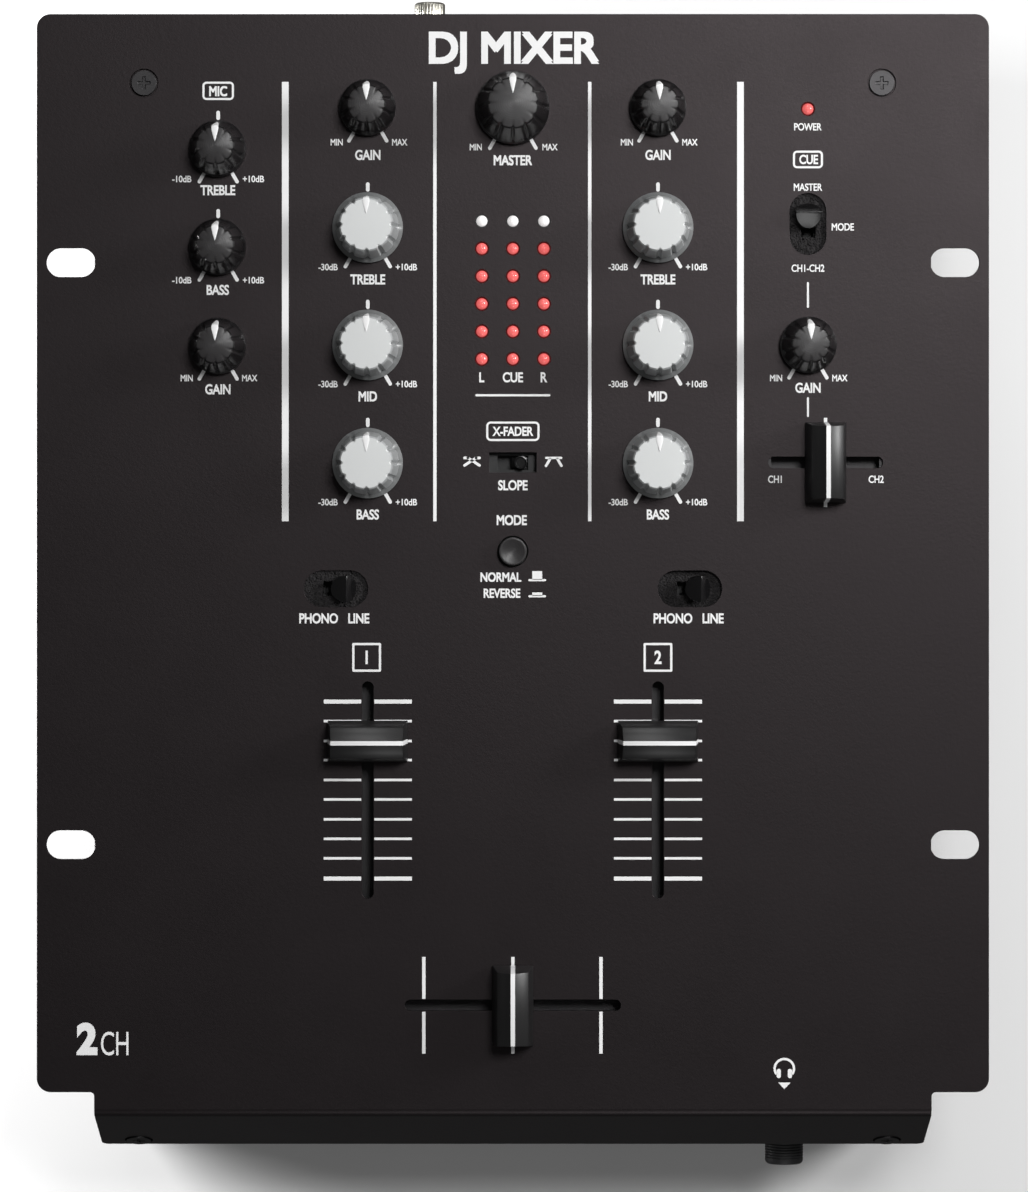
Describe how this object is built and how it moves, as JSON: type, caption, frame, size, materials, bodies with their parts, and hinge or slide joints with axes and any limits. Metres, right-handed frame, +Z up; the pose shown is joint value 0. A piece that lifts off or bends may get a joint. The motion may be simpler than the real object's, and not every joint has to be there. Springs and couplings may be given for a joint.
{
  "type": "dj mixer",
  "caption": "Two-channel scratch mixer with knobs, level faders, a crossfader and switches on a rack-width steel panel over a folded case with rear sockets.",
  "frame": {"origin": "on the table under the middle of the mixer", "axes": "+Z up, +Y towards the rear sockets, +X to the right of a person using it"},
  "size_m": [0.254, 0.32, 0.106],
  "materials": {
    "powder_coat": "fine textured matte black powder coat",
    "black_screw": "black oxide, satin",
    "zinc": "zinc plated",
    "foot_rubber": "matte",
    "circuit_board": "solder mask, satin",
    "polished_rod": "polished",
    "black_plastic": "moulded, fine grain",
    "foam": "open-cell dust foam",
    "red_lens": "tinted lens, glossy",
    "white_lens": "clear lens, glossy",
    "black_nut": "black, satin",
    "nickel": "nickel plated",
    "red_plastic": "moulded",
    "white_plastic": "moulded",
    "capacitor_sleeve": "shrink sleeve",
    "heatsink": "extruded, satin",
    "ribbon": "flat cable jacket",
    "button_plastic": "moulded, satin",
    "knob_plastic": "moulded, soft-touch satin",
    "tone_knob_plastic": "moulded light grey, satin",
    "fader_cap_plastic": "moulded, satin"
  },
  "bodies": {
    "root": {"top_panel": "powder_coat", "bottom_tray": "powder_coat", "front_wall": "powder_coat", "rear_panel": "powder_coat", "panel_screws": "black_screw", "chassis_screws": "zinc", "rubber_feet": "foot_rubber", "control_board": "circuit_board", "fader_board": "circuit_board", "board_pillars": "zinc", "pot_bodies": "zinc", "pot_nuts": "zinc", "fader_frames": "zinc", "fader_rods": "polished_rod", "switch_bodies": "black_plastic", "dust_foams": "foam", "red_leds": "red_lens", "white_leds": "white_lens", "led_holder": "black_plastic", "phone_jacks": "black_plastic", "jack_nuts": "black_nut", "connector_board": "circuit_board", "rca_housings": "black_plastic", "rca_barrels": "nickel", "rca_red_inserts": "red_plastic", "rca_white_inserts": "white_plastic", "ground_stud": "nickel", "dc_inlet": "black_plastic", "power_switch_frame": "black_plastic", "filter_capacitors": "capacitor_sleeve", "regulator_heatsink": "heatsink", "ribbon_cables": "ribbon"},
    "mic_treble_knob": {"mic_treble_knob": "knob_plastic"},
    "mic_bass_knob": {"mic_bass_knob": "knob_plastic"},
    "mic_gain_knob": {"mic_gain_knob": "knob_plastic"},
    "ch1_gain_knob": {"ch1_gain_knob": "knob_plastic"},
    "ch1_treble_knob": {"ch1_treble_knob": "tone_knob_plastic"},
    "ch1_mid_knob": {"ch1_mid_knob": "tone_knob_plastic"},
    "ch1_bass_knob": {"ch1_bass_knob": "tone_knob_plastic"},
    "ch2_gain_knob": {"ch2_gain_knob": "knob_plastic"},
    "ch2_treble_knob": {"ch2_treble_knob": "tone_knob_plastic"},
    "ch2_mid_knob": {"ch2_mid_knob": "tone_knob_plastic"},
    "ch2_bass_knob": {"ch2_bass_knob": "tone_knob_plastic"},
    "master_knob": {"master_knob": "knob_plastic"},
    "cue_gain_knob": {"cue_gain_knob": "knob_plastic"},
    "ch1_fader": {"ch1_fader_cap": "fader_cap_plastic", "ch1_fader_carriage": "white_plastic"},
    "ch2_fader": {"ch2_fader_cap": "fader_cap_plastic", "ch2_fader_carriage": "white_plastic"},
    "crossfader": {"crossfader_cap": "fader_cap_plastic", "crossfader_carriage": "white_plastic"},
    "cue_fader": {"cue_fader_cap": "fader_cap_plastic", "cue_fader_carriage": "white_plastic"},
    "ch1_source_lever": {"ch1_source_lever": "knob_plastic"},
    "ch2_source_lever": {"ch2_source_lever": "knob_plastic"},
    "cue_mode_lever": {"cue_mode_lever": "knob_plastic"},
    "slope_post": {"slope_post": "black_plastic"},
    "mode_button": {"mode_button": "button_plastic"},
    "ground_thumb_nut": {"ground_thumb_nut": "nickel"},
    "power_rocker": {"power_rocker": "button_plastic"}
  },
  "joints": [
    {"name": "mic_treble_turn", "type": "hinge", "parent": "root", "child": "mic_treble_knob", "pos_m": [-0.0786, 0.1165, 0.088], "axis": [0, 0, 1], "range_deg": [-150, 150]},
    {"name": "mic_bass_turn", "type": "hinge", "parent": "root", "child": "mic_bass_knob", "pos_m": [-0.0786, 0.0903, 0.088], "axis": [0, 0, 1], "range_deg": [-150, 150]},
    {"name": "mic_gain_turn", "type": "hinge", "parent": "root", "child": "mic_gain_knob", "pos_m": [-0.0786, 0.0639, 0.088], "axis": [0, 0, 1], "range_deg": [-150, 150]},
    {"name": "ch1_gain_turn", "type": "hinge", "parent": "root", "child": "ch1_gain_knob", "pos_m": [-0.0387, 0.1274, 0.088], "axis": [0, 0, 1], "range_deg": [-150, 150]},
    {"name": "ch1_treble_turn", "type": "hinge", "parent": "root", "child": "ch1_treble_knob", "pos_m": [-0.0387, 0.0955, 0.088], "axis": [0, 0, 1], "range_deg": [-150, 150]},
    {"name": "ch1_mid_turn", "type": "hinge", "parent": "root", "child": "ch1_mid_knob", "pos_m": [-0.0387, 0.0642, 0.088], "axis": [0, 0, 1], "range_deg": [-150, 150]},
    {"name": "ch1_bass_turn", "type": "hinge", "parent": "root", "child": "ch1_bass_knob", "pos_m": [-0.0387, 0.0327, 0.088], "axis": [0, 0, 1], "range_deg": [-150, 150]},
    {"name": "ch2_gain_turn", "type": "hinge", "parent": "root", "child": "ch2_gain_knob", "pos_m": [0.0387, 0.1274, 0.088], "axis": [0, 0, 1], "range_deg": [-150, 150]},
    {"name": "ch2_treble_turn", "type": "hinge", "parent": "root", "child": "ch2_treble_knob", "pos_m": [0.0387, 0.0955, 0.088], "axis": [0, 0, 1], "range_deg": [-150, 150]},
    {"name": "ch2_mid_turn", "type": "hinge", "parent": "root", "child": "ch2_mid_knob", "pos_m": [0.0387, 0.0642, 0.088], "axis": [0, 0, 1], "range_deg": [-150, 150]},
    {"name": "ch2_bass_turn", "type": "hinge", "parent": "root", "child": "ch2_bass_knob", "pos_m": [0.0387, 0.0327, 0.088], "axis": [0, 0, 1], "range_deg": [-150, 150]},
    {"name": "master_turn", "type": "hinge", "parent": "root", "child": "master_knob", "pos_m": [0, 0.1274, 0.088], "axis": [0, 0, 1], "range_deg": [-150, 150]},
    {"name": "cue_gain_turn", "type": "hinge", "parent": "root", "child": "cue_gain_knob", "pos_m": [0.0787, 0.0642, 0.088], "axis": [0, 0, 1], "range_deg": [-150, 150]},
    {"name": "ch1_fader_slide", "type": "slide", "parent": "root", "child": "ch1_fader", "axis": [0, 1, 0], "range_m": [-0.0356, 0.0094]},
    {"name": "ch2_fader_slide", "type": "slide", "parent": "root", "child": "ch2_fader", "axis": [0, 1, 0], "range_m": [-0.0356, 0.0094]},
    {"name": "crossfader_slide", "type": "slide", "parent": "root", "child": "crossfader", "axis": [1, 0, 0], "range_m": [-0.0225, 0.0225]},
    {"name": "cue_fader_slide", "type": "slide", "parent": "root", "child": "cue_fader", "axis": [1, 0, 0], "range_m": [-0.01, 0.01]},
    {"name": "ch1_source_swing", "type": "hinge", "parent": "root", "child": "ch1_source_lever", "pos_m": [-0.0472, -0.0008, 0.0815], "axis": [0, 1, 0], "range_deg": [-30, 0]},
    {"name": "ch2_source_swing", "type": "hinge", "parent": "root", "child": "ch2_source_lever", "pos_m": [0.0472, -0.0008, 0.0815], "axis": [0, 1, 0], "range_deg": [-30, 0]},
    {"name": "cue_mode_swing", "type": "hinge", "parent": "root", "child": "cue_mode_lever", "pos_m": [0.0787, 0.0965, 0.0815], "axis": [1, 0, 0], "range_deg": [0, 30]},
    {"name": "slope_slide", "type": "slide", "parent": "root", "child": "slope_post", "axis": [1, 0, 0], "range_m": [-0.0042, 0]},
    {"name": "mode_press", "type": "slide", "parent": "root", "child": "mode_button", "axis": [0, 0, 1], "range_m": [-0.002, 0], "stiffness_N_per_m": 400},
    {"name": "ground_nut_turn", "type": "hinge", "parent": "root", "child": "ground_thumb_nut", "pos_m": [-0.0229, 0.1525, 0.043], "axis": [0, 1, 0], "range_deg": [0, 720]},
    {"name": "power_rock", "type": "hinge", "parent": "root", "child": "power_rocker", "pos_m": [0.092, 0.1455, 0.043], "axis": [1, 0, 0], "range_deg": [-16, 0]}
  ]
}
